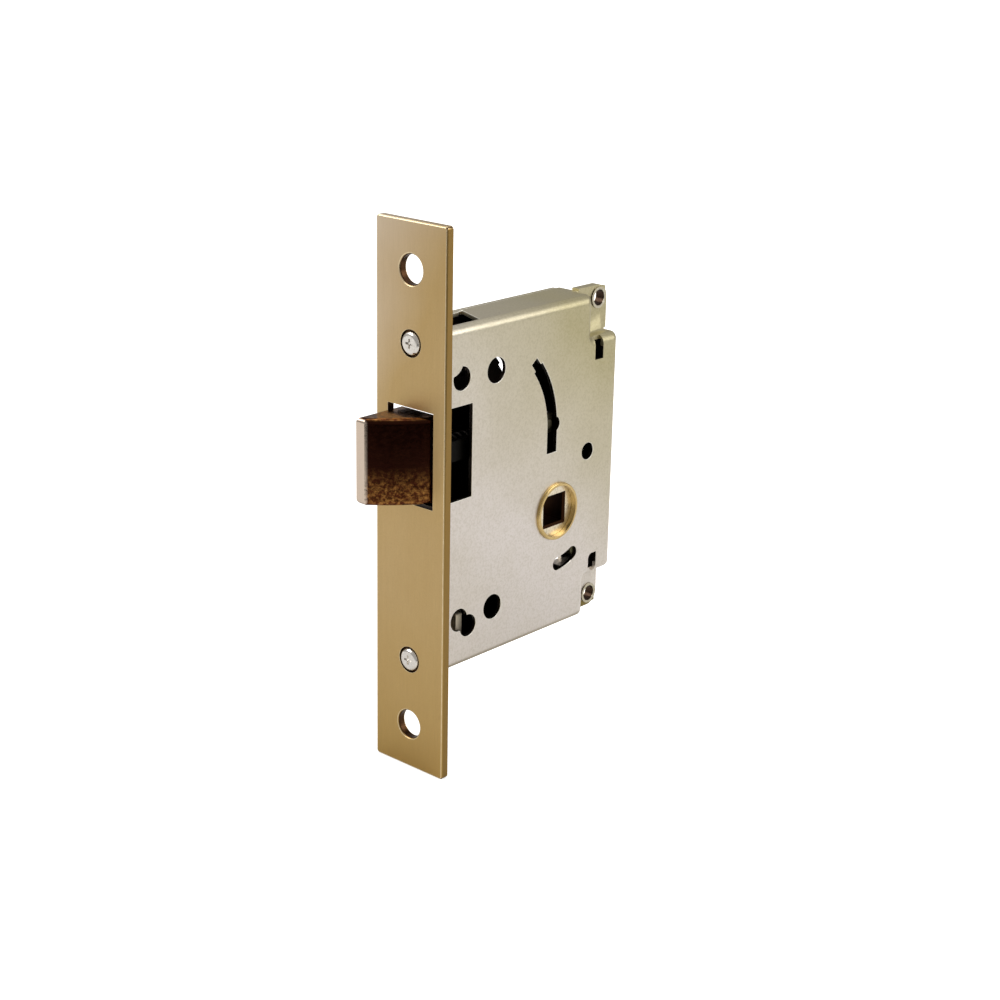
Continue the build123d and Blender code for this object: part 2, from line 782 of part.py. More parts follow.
def hub_spring_start():
    """Angle in degrees where the coil begins, so that it ends in line with the hook."""
    return arm_angle + degrees(hook_tangent) + 360 * hub_spring_turns


def make_hub_spring():
    """Torsion spring on the hub's neck: one leg on the anchor post, one hooked in the arm."""
    start_angle = radians(hub_spring_start())
    coil_length = hub_spring_pitch * hub_spring_turns
    slack = hub_shoulder_x - hub_arm_half - coil_length - hub_spring_wire
    start_x = -hub_shoulder_x + hub_spring_wire / 2 + slack / 2
    base = Plane(
        origin=(start_x, hub_y, hub_z),
        x_dir=(0, cos(start_angle), sin(start_angle)),
        z_dir=(1, 0, 0),
    )
    turns = base * Helix(hub_spring_pitch, coil_length, hub_spring_r, lefthand=True)
    first = turns @ 0
    last = turns @ 1
    bend = last + (turns % 1) * sqrt(hub_spring_hook_r**2 - hub_spring_r**2)
    hook_end = Vector(hub_spring_hook_depth - hub_arm_half, bend.Y, bend.Z)
    path = Wire(
        [
            Line(first - (turns % 0) * hub_spring_leg, first).edge(),
            turns.edge(),
            Line(last, bend).edge(),
            Line(bend, hook_end).edge(),
        ]
    )
    return round_wire(path, hub_spring_wire)


def make_anchor_post():
    """Post that the hub spring's fixed leg bears on."""
    angle = radians(hub_spring_start())
    away = anchor_post_d / 2 + hub_spring_wire / 2 + spring_end_gap
    along = hub_spring_leg_rest
    radius = hub_spring_r + away
    y = hub_y + radius * cos(angle) - along * sin(angle)
    z = hub_z + radius * sin(angle) + along * cos(angle)
    return side_pin(y, z, anchor_post_d, -inner_half, inner_half)


if __name__ == "__main__":
    os.makedirs("parts", exist_ok=True)
    save("forend", [make_forend()])
    save("case_screws", make_case_screws())
    save("case_body", [make_case_body()])
    save("case_cover", [make_case_cover()])
    save("upper_bracket", [make_bracket(1)])
    save("lower_bracket", [make_bracket(-1)])
    save("case_posts", make_case_posts())
    save("cover_screws", make_cover_screws())
    save("ear_eyelets", make_ear_eyelets())
    save("latch_guide", [make_latch_guide()])
    save("latch_spring", [make_latch_spring()])
    save("stop_post", [make_stop_post()])
    save("anchor_post", [make_anchor_post()])
    save("near_bush", [make_hub_bush(1)])
    save("far_bush", [make_hub_bush(-1)])
    save("hub", [make_hub()])
    save("hub_spring", [make_hub_spring()])
    save("latch_head", [make_latch_head()])
    save("latch_fork", [make_latch_fork()])
    save("head_rivets", make_head_rivets())
    save("cross_pin", [make_cross_pin()])
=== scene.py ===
import json
from math import cos, pi, radians, sin

import bmesh
import bpy
from mathutils import Matrix, Vector


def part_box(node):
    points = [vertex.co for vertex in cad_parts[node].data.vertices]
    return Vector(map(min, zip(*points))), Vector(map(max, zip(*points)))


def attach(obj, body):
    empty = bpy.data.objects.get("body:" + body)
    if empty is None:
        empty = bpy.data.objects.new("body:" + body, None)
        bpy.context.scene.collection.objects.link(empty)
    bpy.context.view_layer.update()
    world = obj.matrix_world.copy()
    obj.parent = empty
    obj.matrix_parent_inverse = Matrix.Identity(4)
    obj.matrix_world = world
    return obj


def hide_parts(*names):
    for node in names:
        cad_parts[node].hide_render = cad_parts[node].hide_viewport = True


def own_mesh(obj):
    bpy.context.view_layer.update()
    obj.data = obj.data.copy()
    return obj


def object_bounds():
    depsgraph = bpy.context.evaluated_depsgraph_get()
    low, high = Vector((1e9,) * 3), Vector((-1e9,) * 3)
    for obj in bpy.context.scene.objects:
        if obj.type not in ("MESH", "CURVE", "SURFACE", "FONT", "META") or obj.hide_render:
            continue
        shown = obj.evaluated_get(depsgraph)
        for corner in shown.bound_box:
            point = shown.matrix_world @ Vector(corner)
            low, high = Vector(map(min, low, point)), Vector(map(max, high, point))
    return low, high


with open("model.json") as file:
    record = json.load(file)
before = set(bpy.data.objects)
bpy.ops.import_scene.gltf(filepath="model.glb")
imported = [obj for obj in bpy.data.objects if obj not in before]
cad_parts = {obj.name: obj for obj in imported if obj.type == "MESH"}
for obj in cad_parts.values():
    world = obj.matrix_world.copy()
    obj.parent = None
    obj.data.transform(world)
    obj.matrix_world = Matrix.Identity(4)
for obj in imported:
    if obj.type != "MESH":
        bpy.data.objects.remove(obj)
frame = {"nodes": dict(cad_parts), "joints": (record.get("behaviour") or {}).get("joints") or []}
cad_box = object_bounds()
scene = bpy.context.scene
MM = 0.001

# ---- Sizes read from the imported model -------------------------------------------
class Sizes:
    """Named lengths of one piece of the lock."""

    def __init__(self, **lengths):
        self.__dict__.update(lengths)


def read_sizes():
    forend_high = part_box("forend")[1]
    body_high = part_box("case_body")[1]
    forend = Sizes(
        half_width=forend_high.x / MM,
        half_height=forend_high.z / MM,
        thickness=forend_high.y / MM,
    )
    sheet = SHEET * MM
    case = Sizes(
        half_width=body_high.x,
        inner_half=body_high.x - sheet,
        sheet=sheet,
        half_height=body_high.z - EAR_OVERHANG * MM,
        rear=body_high.y - EAR_OVERHANG * MM,
        notch_front=body_high.y - (EAR_OVERHANG + NOTCH_DEPTH) * MM - sheet,
        notch_height=body_high.z - (EAR_OVERHANG + NOTCH_HEIGHT) * MM - sheet,
    )
    return forend, case


SHEET = 1.2
EAR_OVERHANG = 0.7
NOTCH_DEPTH = 11.6
NOTCH_HEIGHT = 12.1
FOREND, CASE = read_sizes()
LATCH_LOW, LATCH_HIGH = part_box("latch_head")
# Where the latch head's painted reflection lies, at its foot and along its top edge, in mm.
LATCH_FOOT_FULL = 3.85
LATCH_FOOT_FADE = 7.0
LATCH_CROWN_DEPTH = 0.75
LATCH_EDGE_FADE = 0.15
LATCH_NOSE_DEPTH = 0.6
LATCH_NOSE_EDGE = 0.1
# Where the fork's painted shade ends and where it has faded out, in mm along Y.
FORK_SHADE_END = 28.0
FORK_LIT_START = 36.0
# Height of the painted shade along the underside of the case, in mm.
UNDERSIDE_TOP = 2.1
UNDERSIDE_FULL = 0.9
HUB_AXIS = [j for j in frame["joints"] if j["name"] == "hub_turn"][0]["pos_m"]

# ---- Camera, floor and light ---------------------------------------------------
CAMERA_PLACE = Vector((334.5, -338.8, 163.8)) * MM
CAMERA_AIM = Vector((31.5, 0.0, 9.3)) * MM
CAMERA_ROLL = radians(1.17)
CAMERA_LENS = 69.5
SENSOR = 36.0
FLOOR_SIZE = 8.0
SPINDLE_MOUTH = 9.3
RIVET_RIM = 1.4
LATCH_FLAG_START = 0.265
LATCH_FLAG_LENGTH = 0.75
LATCH_FLAG_WIDTH = 0.80
LATCH_FLAG_LIFT = 0.0005


def aim(obj, place, target, roll=0.0):
    """Put a camera or light at a place, looking at a target, turned about its line of sight."""
    look = (Vector(target) - Vector(place)).to_track_quat("-Z", "Y").to_matrix()
    obj.matrix_world = Matrix.Translation(place) @ (look @ Matrix.Rotation(roll, 3, "Z")).to_4x4()


def add_camera():
    data = bpy.data.cameras.new("camera")
    data.lens = CAMERA_LENS
    data.sensor_width = SENSOR
    data.clip_start = 0.01
    camera = bpy.data.objects.new("camera", data)
    scene.collection.objects.link(camera)
    aim(camera, CAMERA_PLACE, CAMERA_AIM, CAMERA_ROLL)
    scene.camera = camera


def softbox(name, place, target, size, power):
    """Square area light aimed at a target."""
    data = bpy.data.lights.new(name, "AREA")
    data.shape = "SQUARE"
    data.size = size
    data.energy = power
    light = bpy.data.objects.new(name, data)
    scene.collection.objects.link(light)
    aim(light, place, target)


def flat_stage(name, corners, material):
    """Flat sheet that belongs to the studio and not to the object."""
    mesh = bpy.data.meshes.new(name)
    mesh.from_pydata(corners, [], [tuple(range(len(corners)))])
    mesh.materials.append(material)
    sheet = bpy.data.objects.new(name, mesh)
    scene.collection.objects.link(sheet)
    return sheet


# ---- Node helpers ----------------------------------------------------------------
class Graph:
    """Adds nodes and links to one node tree."""

    def __init__(self, tree):
        self.tree = tree

    def add(self, kind, inputs=None, **settings):
        node = self.tree.nodes.new(kind)
        for name, value in settings.items():
            setattr(node, name, value)
        for key, value in (inputs or {}).items():
            self.feed(node.inputs[key], value)
        return node

    def feed(self, socket, value):
        if isinstance(value, bpy.types.NodeSocket):
            self.tree.links.new(value, socket)
        else:
            socket.default_value = value

    def math(self, operation, first, second=0.0, third=0.0):
        node = self.add("ShaderNodeMath", {0: first, 1: second, 2: third}, operation=operation)
        return node.outputs[0]

    def spread(self, value, low, high, to_low=0.0, to_high=1.0):
        """Map a value from one range to another, held at the ends."""
        inputs = {"Value": value, "From Min": low, "From Max": high}
        inputs.update({"To Min": to_low, "To Max": to_high})
        return self.add("ShaderNodeMapRange", inputs).outputs["Result"]

    def blend(self, factor, first, second, mode="MIX"):
        """Mix two colours."""
        node = self.add("ShaderNodeMix", data_type="RGBA", blend_type=mode)
        self.feed(node.inputs["Factor"], factor)
        self.feed(node.inputs["A"], first)
        self.feed(node.inputs["B"], second)
        return node.outputs["Result"]

    def object_point(self):
        return self.add("ShaderNodeTexCoord").outputs["Object"]

    def noise(self, point, scale, detail=3.0, roughness=0.55):
        inputs = {"Vector": point, "Scale": scale, "Detail": detail, "Roughness": roughness}
        return self.add("ShaderNodeTexNoise", inputs).outputs["Fac"]


def group_tree(name, inputs, outputs):
    """Empty shader group with named inputs and outputs; returns its graph and both ends."""
    tree = bpy.data.node_groups.new(name, "ShaderNodeTree")
    for label, kind, value in inputs:
        socket = tree.interface.new_socket(name=label, in_out="INPUT", socket_type=kind)
        socket.default_value = value
    for label, kind in outputs:
        tree.interface.new_socket(name=label, in_out="OUTPUT", socket_type=kind)
    graph = Graph(tree)
    start = graph.add("NodeGroupInput").outputs
    end = graph.add("NodeGroupOutput").inputs
    return graph, start, end


NUMBER = "NodeSocketFloat"
COLOUR = "NodeSocketColor"
VECTOR = "NodeSocketVector"


def make_mottle_group():
    """Cloudy and speckled colour of plated or rolled sheet, with the matching roughness value."""
    graph, start, end = group_tree(
        "plating_mottle",
        [
            ("Base", COLOUR, (0.6, 0.6, 0.6, 1.0)),
            ("Cloud", COLOUR, (0.5, 0.5, 0.5, 1.0)),
            ("Speck", COLOUR, (0.4, 0.4, 0.4, 1.0)),
            ("Cloud Scale", NUMBER, 40.0),
            ("Speck Scale", NUMBER, 900.0),
            ("Cloud Amount", NUMBER, 0.6),
            ("Speck Amount", NUMBER, 0.3),
        ],
        [("Color", COLOUR), ("Cloud", NUMBER), ("Speck", NUMBER)],
    )
    point = graph.object_point()
    cloud = graph.spread(graph.noise(point, start["Cloud Scale"], 4.0, 0.6), 0.35, 0.68)
    speck = graph.spread(graph.noise(point, start["Speck Scale"], 2.0, 0.7), 0.42, 0.68)
    colour = graph.blend(
        graph.math("MULTIPLY", cloud, start["Cloud Amount"]), start["Base"], start["Cloud"]
    )
    colour = graph.blend(
        graph.math("MULTIPLY", speck, start["Speck Amount"]), colour, start["Speck"]
    )
    graph.feed(end["Color"], colour)
    graph.feed(end["Cloud"], cloud)
    graph.feed(end["Speck"], speck)
    return graph.tree


def make_grain_group():
    """Fine lines drawn out along one direction, as brushing or rolling leaves them."""
    graph, start, end = group_tree(
        "drawn_grain",
        [("Stretch", VECTOR, (1.0, 1.0, 0.03)), ("Scale", NUMBER, 3000.0)],
        [("Fine", NUMBER), ("Broad", NUMBER)],
    )
    stretch = {0: graph.object_point(), 1: start["Stretch"]}
    point = graph.add("ShaderNodeVectorMath", stretch, operation="MULTIPLY").outputs[0]
    graph.feed(end["Fine"], graph.noise(point, start["Scale"], 2.0, 0.6))
    broad = graph.noise(point, graph.math("MULTIPLY", start["Scale"], 0.17), 3.0, 0.6)
    graph.feed(end["Broad"], graph.spread(broad, 0.3, 0.7))
    return graph.tree


def make_turned_group():
    """Fine rings about an axis along X, as a lathe leaves them."""
    graph, start, end = group_tree(
        "turned_rings",
        [("Centre", VECTOR, (0.0, 0.0, 0.0)), ("Rings", NUMBER, 9000.0)],
        [("Ring", NUMBER)],
    )
    offset = {0: graph.object_point(), 1: start["Centre"]}
    point = graph.add("ShaderNodeVectorMath", offset, operation="SUBTRACT").outputs[0]
    parts = graph.add("ShaderNodeSeparateXYZ", {0: point}).outputs
    square = graph.math("MULTIPLY", parts["Y"], parts["Y"])
    radius = graph.math("SQRT", graph.math("MULTIPLY_ADD", parts["Z"], parts["Z"], square))
    along = graph.add("ShaderNodeCombineXYZ", {0: radius, 1: parts["X"]}).outputs[0]
    graph.feed(end["Ring"], graph.noise(along, start["Rings"], 2.0, 0.6))
    return graph.tree


def make_wear_group():
    """Mask of the edges that rubbing has polished, broken up by noise."""
    graph, start, end = group_tree(
        "worn_edges", [("Break Up", NUMBER, 0.5), ("Scale", NUMBER, 700.0)], [("Mask", NUMBER)]
    )
    edge = graph.add("ShaderNodeAttribute", attribute_name="worn_edge").outputs["Fac"]
    patch = graph.spread(graph.noise(graph.object_point(), start["Scale"], 3.0), 0.3, 0.6)
    kept = graph.math("SUBTRACT", 1.0, graph.math("MULTIPLY", start["Break Up"], patch))
    graph.feed(end["Mask"], graph.math("MULTIPLY", edge, kept))
    return graph.tree


def make_inside_group():
    """Mask of points inside a box about X and Z, less the two notched rear corners."""
    graph, start, end = group_tree(
        "inside_box",
        [
            ("Half Width", NUMBER, 1.0),
            ("Half Height", NUMBER, 1.0),
            ("Front", NUMBER, -1.0),
            ("Rear", NUMBER, 1.0),
            ("Notch Front", NUMBER, 1.0),
            ("Notch Height", NUMBER, 1.0),
        ],
        [("Mask", NUMBER)],
    )
    parts = graph.add("ShaderNodeSeparateXYZ", {0: graph.object_point()}).outputs
    across = graph.math("ABSOLUTE", parts["X"])
    up = graph.math("ABSOLUTE", parts["Z"])
    mask = graph.math("LESS_THAN", across, start["Half Width"])
    mask = graph.math("MULTIPLY", mask, graph.math("LESS_THAN", up, start["Half Height"]))
    mask = graph.math("MULTIPLY", mask, graph.math("LESS_THAN", parts["Y"], start["Rear"]))
    mask = graph.math("MULTIPLY", mask, graph.math("GREATER_THAN", parts["Y"], start["Front"]))
    behind = graph.math("GREATER_THAN", parts["Y"], start["Notch Front"])
    beyond = graph.math("GREATER_THAN", up, start["Notch Height"])
    kept = graph.math("SUBTRACT", 1.0, graph.math("MULTIPLY", behind, beyond))
    graph.feed(end["Mask"], graph.math("MULTIPLY", mask, kept))
    return graph.tree


def make_slope_ramp_group():
    """Slow change from 0 to 1 along a slope across a part, its edge wandering a little; it places
    painted light, painted shade and painted reflection, and the pale latch nose.
    """
    graph, start, end = group_tree(
        "slope_ramp",
        [
            ("Slope", VECTOR, (0.0, 0.6, 0.8)),
            ("From", NUMBER, -0.03),
            ("To", NUMBER, 0.08),
            ("Wander", NUMBER, 0.03),
        ],
        [("Mask", NUMBER)],
    )
    dot = {0: graph.object_point(), 1: start["Slope"]}
    along = graph.add("ShaderNodeVectorMath", dot, operation="DOT_PRODUCT").outputs["Value"]
    wander = graph.noise(graph.object_point(), 22.0, 2.0)
    along = graph.math("MULTIPLY_ADD", graph.math("SUBTRACT", wander, 0.5), start["Wander"], along)
    graph.feed(end["Mask"], graph.spread(along, start["From"], start["To"]))
    return graph.tree


MOTTLE = make_mottle_group()
GRAIN = make_grain_group()
TURNED = make_turned_group()
WEAR = make_wear_group()
INSIDE = make_inside_group()
SLOPE_RAMP = make_slope_ramp_group()


# ---- Materials --------------------------------------------------------------------
class Finish:
    """One metal: its Principled shader with places to plug the shared groups in."""

    def __init__(self, name, metallic=1.0):
        self.material = bpy.data.materials.new(name)
        self.material.use_nodes = True
        self.graph = Graph(self.material.node_tree)
        self.shader = self.material.node_tree.nodes["Principled BSDF"]
        self.shader.inputs["Metallic"].default_value = metallic
        self.normal = None

    def use(self, tree, **inputs):
        node = self.graph.add("ShaderNodeGroup", node_tree=tree)
        for key, value in inputs.items():
            self.graph.feed(node.inputs[key.replace("_", " ")], value)
        return node.outputs

    def mottle(self, base, cloud, speck, scales, amounts):
        """Clouds and specks of two colours over a base; scales and amounts are (cloud, speck)."""
        return self.use(
            MOTTLE,
            Base=base,
            Cloud=cloud,
            Speck=speck,
            Cloud_Scale=scales[0],
            Speck_Scale=scales[1],
            Cloud_Amount=amounts[0],
            Speck_Amount=amounts[1],
        )

    def set(self, **inputs):
        for key, value in inputs.items():
            self.graph.feed(self.shader.inputs[key.replace("_", " ")], value)

    def bump(self, height, depth, strength=1.0):
        """Add relief of a depth in metres on top of what is already there."""
        inputs = {"Height": height, "Distance": depth, "Strength": strength}
        if self.normal is not None:
            inputs["Normal"] = self.normal
        self.normal = self.graph.add("ShaderNodeBump", inputs).outputs["Normal"]
        self.set(Normal=self.normal)


def rgb(red, green, blue):
    return (red, green, blue, 1.0)


def satin_bronze():
    """Plated forend: pale bronze with fine upright brushing, dark brown inside its holes as
    painted shade; painted light and shade also make it paler to the upper left, warmer and darker
    to the bottom and darker at its narrow ends.
    """
    finish = Finish("satin_bronze")
    mottle = finish.mottle(
        rgb(0.52, 0.36, 0.155),
        rgb(0.56, 0.40, 0.195),
        rgb(0.43, 0.29, 0.13),
        scales=(26.0, 1700.0),
        amounts=(0.7, 0.22),
    )
    grain = finish.use(GRAIN, Stretch=(1.0, 1.0, 0.035), Scale=5200.0)
    wear = finish.use(WEAR, Break_Up=0.4, Scale=500.0)
    # Paler towards the upper left and darker, warmer bronze towards the bottom: painted light and
    # painted shade across the forend.
    pale = finish.use(SLOPE_RAMP, Slope=(-0.9, 0.0, 0.5), From=0.020, To=0.054)
    warm = finish.use(SLOPE_RAMP, Slope=(0.0, 0.0, -1.0), From=0.030, To=0.080)
    streaks = finish.graph.spread(grain["Fine"], 0.3, 0.7, 0.96, 1.03)
    colour = finish.graph.blend(warm["Mask"], mottle["Color"], rgb(0.49, 0.32, 0.105))
    colour = finish.graph.blend(pale["Mask"], colour, rgb(0.76, 0.64, 0.50))
    colour = finish.graph.blend(1.0, colour, streaks, "MULTIPLY")
    colour = finish.graph.blend(wear["Mask"], colour, rgb(0.90, 0.76, 0.50))
    # The narrow faces at either end of the forend's width are painted darker bronze, as painted
    # shade.
    face = finish.use(INSIDE, Half_Width=(FOREND.half_width - 0.12) * MM)
    shaded_sides = finish.graph.math("SUBTRACT", 1.0, face["Mask"])
    colour = finish.graph.blend(shaded_sides, colour, rgb(0.30, 0.185, 0.055))
    # Near black brown inside the forend's holes and opening: painted shade.
    shaded_walls = finish.use(
        INSIDE,
        Half_Width=(FOREND.half_width - 0.2) * MM,
        Half_Height=(FOREND.half_height - 0.2) * MM,
        Front=0.2 * MM,
        Rear=(FOREND.thickness - 0.2) * MM,
    )
    colour = finish.graph.blend(shaded_walls["Mask"], colour, rgb(0.075, 0.035, 0.015))
    finish.set(Base_Color=colour)
    rough = finish.graph.spread(grain["Broad"], 0.0, 1.0, 0.34, 0.43)
    finish.set(Roughness=finish.graph.math("MULTIPLY_ADD", wear["Mask"], -0.12, rough))
    finish.bump(grain["Fine"], 0.000008, 0.5)
    return finish.material


def plated_steel(name, base, cloud, speck, shade_tint):
    """Zinc plated sheet, satin and cloudy outside; near black inside the case and inside its holes
    and slots as painted shade, with olive painted shade towards the upper rear and along the
    underside.
    """
    finish = Finish(name)
    mottle = finish.mottle(
        base,
        cloud,
        speck,
        scales=(42.0, 1500.0),
        amounts=(0.55, 0.35),
    )
    grain = finish.use(GRAIN, Stretch=(1.0, 0.05, 1.0), Scale=2600.0)
    wear = finish.use(WEAR, Break_Up=0.3, Scale=400.0)
    # Olive towards the upper rear of the plates, lighter and pinker at the lower front: painted
    # shade, a lighting gradient put into the colour.
    tint = finish.use(SLOPE_RAMP, Slope=(0.0, 0.65, 0.75), From=0.012, To=0.072)
    colour = finish.graph.blend(tint["Mask"], mottle["Color"], shade_tint, "MULTIPLY")
    colour = finish.graph.blend(wear["Mask"], colour, rgb(0.93, 0.90, 0.80))
    # Darker olive along the bottom 2 mm of the case: painted shade on the underside.
    underside_shade = finish.use(
        SLOPE_RAMP,
        Slope=(0.0, 0.0, -1.0),
        From=CASE.half_height - UNDERSIDE_TOP * MM,
        To=CASE.half_height - UNDERSIDE_FULL * MM,
        Wander=0.0,
    )
    colour = finish.graph.blend(underside_shade["Mask"], colour, rgb(0.30, 0.25, 0.09), "MULTIPLY")
    rough = finish.graph.spread(mottle["Cloud"], 0.0, 1.0, 0.34, 0.44)
    # Near black inside the case and through the thickness of the sheet in its holes and slots:
    # painted shade.
    cavity = finish.use(
        INSIDE,
        Half_Width=CASE.inner_half + 0.05 * MM,
        Half_Height=CASE.half_height - CASE.sheet + 0.05 * MM,
        Rear=CASE.rear - CASE.sheet + 0.05 * MM,
        Notch_Front=CASE.notch_front - 0.1 * MM,
        Notch_Height=CASE.notch_height - 0.1 * MM,
    )
    rims = finish.use(
        INSIDE,
        Half_Width=CASE.half_width - 0.16 * MM,
        Half_Height=CASE.half_height - 2.9 * MM,
        Rear=CASE.rear - 2.9 * MM,
        Notch_Front=CASE.notch_front - 2.0 * MM,
        Notch_Height=CASE.notch_height - 2.0 * MM,
    )
    dark = finish.graph.math("MAXIMUM", cavity["Mask"], rims["Mask"])
    colour = finish.graph.blend(dark, colour, rgb(0.020, 0.014, 0.010))
    rough = finish.graph.math("MULTIPLY_ADD", dark, 0.10, rough)
    finish.set(Base_Color=colour, Roughness=rough)
    finish.bump(mottle["Speck"], 0.000010, 0.45)
    finish.bump(grain["Fine"], 0.000003, 0.5)
    return finish.material


def polished_bronze():
    """Latch head: bronze, its pale colour shown on the nose; painted near black elsewhere as a
    painted dark reflection, with gold painted reflection mottled at its foot and along its top
    edge.
    """
    finish = Finish("polished_bronze")
    # Near black base colour: painted dark reflection.
    mottle = finish.mottle(
        rgb(0.030, 0.008, 0.005),
        rgb(0.050, 0.016, 0.008),
        rgb(0.022, 0.007, 0.004),
        scales=(210.0, 900.0),
        amounts=(0.6, 0.35),
    )
    # Brown and gold mottle for the foot and the top edge: painted reflection.
    reflection_fleck = finish.mottle(
        rgb(0.060, 0.014, 0.006),
        rgb(0.130, 0.042, 0.013),
        rgb(0.560, 0.270, 0.070),
        scales=(620.0, 950.0),
        amounts=(0.70, 0.55),
    )
    foot_full = -LATCH_LOW.z - LATCH_FOOT_FULL * MM
    foot = finish.use(
        SLOPE_RAMP,
        Slope=(0.0, 0.0, -1.0),
        From=foot_full - LATCH_FOOT_FADE * MM,
        To=foot_full,
        Wander=0.006,
    )
    crown = finish.use(
        SLOPE_RAMP,
        Slope=(0.0, 0.0, 1.0),
        From=LATCH_HIGH.z - LATCH_CROWN_DEPTH * MM,
        To=LATCH_HIGH.z + LATCH_EDGE_FADE * MM,
        Wander=0.0,
    )
    nose = finish.use(
        SLOPE_RAMP,
        Slope=(0.0, -1.0, 0.0),
        From=-LATCH_LOW.y - LATCH_NOSE_DEPTH * MM,
        To=-LATCH_LOW.y - LATCH_NOSE_EDGE * MM,
        Wander=0.0,
    )
    painted_reflection = finish.graph.math("MAXIMUM", foot["Mask"], crown["Mask"])
    colour = finish.graph.blend(painted_reflection, mottle["Color"], reflection_fleck["Color"])
    colour = finish.graph.blend(nose["Mask"], colour, rgb(0.66, 0.54, 0.44))
    finish.set(Base_Color=colour)
    finish.set(Roughness=finish.graph.spread(mottle["Speck"], 0.0, 1.0, 0.16, 0.26))
    ripple = finish.graph.math("MULTIPLY", reflection_fleck["Cloud"], foot["Mask"])
    finish.bump(ripple, 0.00005, 0.5)
    finish.bump(mottle["Speck"], 0.000010, 0.4)
    return finish.material


def bright_nickel():
    """Screw heads."""
    finish = Finish("bright_nickel")
    mottle = finish.mottle(
        rgb(0.80, 0.77, 0.73),
        rgb(0.70, 0.66, 0.60),
        rgb(0.45, 0.41, 0.36),
        scales=(420.0, 2400.0),
        amounts=(0.5, 0.3),
    )
    finish.set(Base_Color=mottle["Color"])
    finish.set(Roughness=finish.graph.spread(mottle["Speck"], 0.0, 1.0, 0.16, 0.30))
    finish.bump(mottle["Speck"], 0.00001, 0.5)
    return finish.material


def turned_metal(name, base, tint, rough=0.22):
    """Turned bush with fine lathe rings."""
    finish = Finish(name)
    mottle = finish.mottle(
        base,
        tint,
        tint,
        scales=(180.0, 1800.0),
        amounts=(0.6, 0.3),
    )
    rings = finish.use(TURNED, Centre=HUB_AXIS)
    finish.set(Base_Color=mottle["Color"])
    spread = finish.graph.spread(rings["Ring"], 0.3, 0.7, rough - 0.05, rough + 0.10)
    finish.set(Roughness=spread)
    finish.bump(rings["Ring"], 0.000012, 0.6)
    return finish.material


def shaded_fork():
    """Fork steel, near black as painted shade where it runs in the guide."""
    finish = Finish("fork_steel")
    mottle = finish.mottle(
        rgb(0.10, 0.09, 0.055),
        rgb(0.06, 0.05, 0.035),
        rgb(0.04, 0.03, 0.02),
        scales=(220.0, 1200.0),
        amounts=(0.5, 0.4),
    )
    # Near black at the front, fading to the mottled steel further back: painted shade.
    unshaded = finish.use(
        SLOPE_RAMP,
        Slope=(0.0, 1.0, 0.0),
        From=FORK_SHADE_END * MM,
        To=FORK_LIT_START * MM,
        Wander=0.0,
    )
    colour = finish.graph.blend(unshaded["Mask"], rgb(0.008, 0.007, 0.006), mottle["Color"])
    finish.set(Base_Color=colour)
    finish.set(Roughness=finish.graph.spread(mottle["Speck"], 0.0, 1.0, 0.35, 0.55))
    finish.bump(mottle["Speck"], 0.00001, 0.5)
    return finish.material


def hub_steel():
    """Sintered hub: cream plated faces, near black in the spindle square as painted shade."""
    finish = Finish("hub_steel")
    mottle = finish.mottle(
        rgb(0.93, 0.84, 0.66),
        rgb(0.80, 0.70, 0.50),
        rgb(0.25, 0.18, 0.10),
        scales=(260.0, 1500.0),
        amounts=(0.6, 0.4),
    )
    rings = finish.use(TURNED, Centre=HUB_AXIS)
    offset = {0: finish.graph.object_point(), 1: HUB_AXIS}
    node = finish.graph.add("ShaderNodeVectorMath", offset, operation="SUBTRACT")
    parts = finish.graph.add("ShaderNodeSeparateXYZ", {0: node.outputs[0]}).outputs
    across = finish.graph.math("ABSOLUTE", parts["Y"])
    up = finish.graph.math("ABSOLUTE", parts["Z"])
    square = finish.graph.math("MAXIMUM", across, up)
    # Near black inside the spindle square: painted shade.
    inside = finish.graph.math("LESS_THAN", square, SPINDLE_MOUTH / 2 * MM)
    colour = finish.graph.blend(inside, mottle["Color"], rgb(0.03, 0.012, 0.005))
    finish.set(Base_Color=colour)
    finish.set(Roughness=finish.graph.spread(rings["Ring"], 0.3, 0.7, 0.28, 0.40))
    finish.bump(rings["Ring"], 0.000010, 0.5)
    return finish.material


def zinc_rivet():
    """Tubular rivet: worn bright on its rim, near black in its bore as painted shade."""
    finish = Finish("zinc_rivet")
    mottle = finish.mottle(
        rgb(0.62, 0.58, 0.46),
        rgb(0.48, 0.43, 0.30),
        rgb(0.25, 0.20, 0.12),
        scales=(300.0, 1500.0),
        amounts=(0.6, 0.4),
    )
    # Near black in the bore: painted shade.
    bore = finish.use(INSIDE, Half_Width=RIVET_RIM * MM)
    colour = finish.graph.blend(bore["Mask"], mottle["Color"], rgb(0.05, 0.03, 0.02))
    finish.set(Base_Color=colour)
    finish.set(Roughness=finish.graph.spread(mottle["Speck"], 0.0, 1.0, 0.25, 0.40))
    finish.bump(mottle["Speck"], 0.00001, 0.5)
    return finish.material


def dull_steel(name, base, tint, rough):
    """Hidden pins, brackets, guide and fork: oiled steel in the colours given, the near black ones
    painted shade.
    """
    finish = Finish(name)
    mottle = finish.mottle(
        base,
        tint,
        tint,
        scales=(120.0, 1300.0),
        amounts=(0.8, 0.4),
    )
    grain = finish.use(GRAIN, Stretch=(0.08, 1.0, 1.0), Scale=2500.0)
    finish.set(Base_Color=mottle["Color"])
    finish.set(Roughness=finish.graph.spread(grain["Broad"], 0.0, 1.0, rough, rough + 0.12))
    finish.bump(grain["Fine"], 0.000006, 0.5)
    return finish.material


